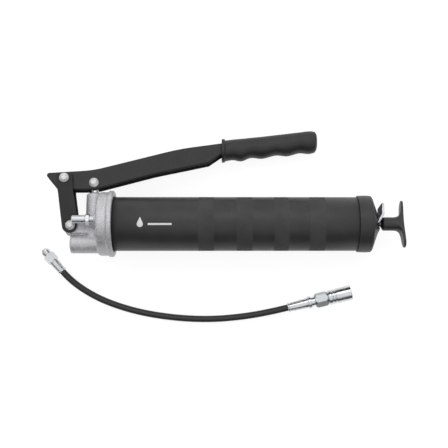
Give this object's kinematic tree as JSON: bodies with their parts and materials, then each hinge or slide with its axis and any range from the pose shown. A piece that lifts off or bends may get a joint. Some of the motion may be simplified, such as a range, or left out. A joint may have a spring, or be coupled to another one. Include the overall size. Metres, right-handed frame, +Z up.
{
  "type": "grease gun",
  "caption": "Hand lever grease gun lying on its side, with cartridge barrel, cast pump head, linked lever, follower rod and a detached flexible hose with coupler.",
  "frame": {"origin": "under the middle of the gun's box, on the surface that it lies on, without the hose", "axes": "+X back along the barrel towards the T-handle, +Y to the lever side, +Z up from the surface; the barrel is pitched about 1 degree"},
  "size_m": [0.384, 0.2038, 0.0689],
  "materials": {
    "cast_aluminium": "grainy die-cast aluminium, satin",
    "black_coat": "matte black powder coat with a fine speckle",
    "plated_steel": "bright zinc-nickel plate",
    "bright_rivet": "bright plated rivet",
    "ground_steel": "ground steel",
    "spring_steel": "oiled spring wire",
    "grip_plastic": "satin black moulded grip with a fine grain",
    "handle_plastic": "semi-gloss black moulded plastic",
    "seal_rubber": "black nitrile rubber",
    "hose_rubber": "semi-gloss black hose cover"
  },
  "bodies": {
    "gun": {"head_casting": "cast_aluminium", "head_gasket": "seal_rubber", "barrel_tube": "black_coat", "rear_cap": "black_coat", "rod_bush": "ground_steel", "plunger_seal": "seal_rubber", "check_spring": "spring_steel", "check_retainer": "plated_steel", "filler_nipple_body": "plated_steel", "filler_nipple_spring": "spring_steel", "latch_spring": "spring_steel", "follower_spring": "spring_steel"},
    "link": {"link_arm": "black_coat", "lug_rivet": "bright_rivet", "lever_rivet": "bright_rivet"},
    "lever": {"lever_channel": "black_coat", "lever_grip": "grip_plastic", "plunger_rivet": "bright_rivet"},
    "plunger": {"plunger": "ground_steel"},
    "follower": {"follower_cup": "seal_rubber", "follower_front_washer": "plated_steel", "follower_rear_washer": "plated_steel", "follower_hub": "plated_steel"},
    "rod": {"follower_rod": "ground_steel", "rod_clip": "spring_steel", "t_handle": "handle_plastic"},
    "latch": {"latch_plate": "plated_steel"},
    "outlet_ball": {"check_ball": "ground_steel"},
    "filler_ball": {"filler_nipple_ball": "ground_steel"},
    "hose": {"hose_tube": "hose_rubber", "hose_end_ferrule": "plated_steel", "hose_end_fitting": "plated_steel", "coupler_ferrule": "plated_steel", "coupler_stem": "plated_steel", "coupler_body": "plated_steel", "coupler_jaws": "ground_steel", "coupler_seal": "seal_rubber", "coupler_spring": "spring_steel"},
    "sleeve": {"coupler_sleeve": "plated_steel"},
    "hose_ball": {"coupler_ball": "ground_steel"}
  },
  "joints": [
    {"name": "lever_swing", "type": "hinge", "parent": "link", "child": "lever", "pos_m": [-0.16776, 0.01414, 0.0253], "axis": [0.0178, 0.213, 0.9769], "range_deg": [0, 44.8]},
    {"name": "link_swing", "type": "hinge", "parent": "gun", "child": "link", "pos_m": [-0.15916, -0.0354, 0.03594], "axis": [0.0178, 0.213, 0.9769], "range_deg": [-4.9, 0]},
    {"name": "plunger_stroke", "type": "slide", "parent": "gun", "child": "plunger", "axis": [-0.0039, 0.977, -0.213], "range_m": [0, 0.022]},
    {"name": "follower_travel", "type": "slide", "parent": "gun", "child": "follower", "axis": [0.9998, 0, -0.0182], "range_m": [0, 0.2], "stiffness_N_per_m": 250, "springref_m": -0.1, "deforming": ["follower_spring"]},
    {"name": "rod_turn", "type": "hinge", "parent": "follower", "child": "rod", "pos_m": [-0.12528, -0.03198, 0.03458], "axis": [0.9998, 0, -0.0182], "continuous": true},
    {"name": "latch_tilt", "type": "hinge", "parent": "gun", "child": "latch", "pos_m": [0.1536, -0.04009, 0.03126], "axis": [0.0178, 0.213, 0.9769], "range_deg": [0, 4], "stiffness_Nm_per_rad": 0.5, "springref_deg": -2.86, "deforming": ["latch_spring"]},
    {"name": "outlet_ball_lift", "type": "slide", "parent": "gun", "child": "outlet_ball", "axis": [-0.9998, 0, 0.0182], "range_m": [0, 0.0012], "stiffness_N_per_m": 40, "springref_m": -0.002, "deforming": ["check_spring"]},
    {"name": "filler_ball_lift", "type": "slide", "parent": "gun", "child": "filler_ball", "axis": [0.9998, 0, -0.0182], "range_m": [0, 0.001], "stiffness_N_per_m": 40, "springref_m": -0.002, "deforming": ["filler_nipple_spring"]},
    {"name": "hose_lift", "type": "slide", "parent": "gun", "child": "hose", "axis": [0, 0, 1], "range_m": [0, 0.15]},
    {"name": "coupler_sleeve_turn", "type": "hinge", "parent": "hose", "child": "sleeve", "pos_m": [0.11521, -0.10939, 0.008], "axis": [0.9722, 0.2343, 0], "continuous": true},
    {"name": "hose_ball_lift", "type": "slide", "parent": "hose", "child": "hose_ball", "axis": [0.9722, 0.2343, 0], "range_m": [0, 0.001], "stiffness_N_per_m": 40, "springref_m": -0.002, "deforming": ["coupler_spring"]}
  ],
  "couplings": [
    {"joint": "link_swing", "follows": "lever_swing", "ratio": -0.10634},
    {"joint": "plunger_stroke", "follows": "lever_swing", "m_per_rad": 0.027256}
  ]
}
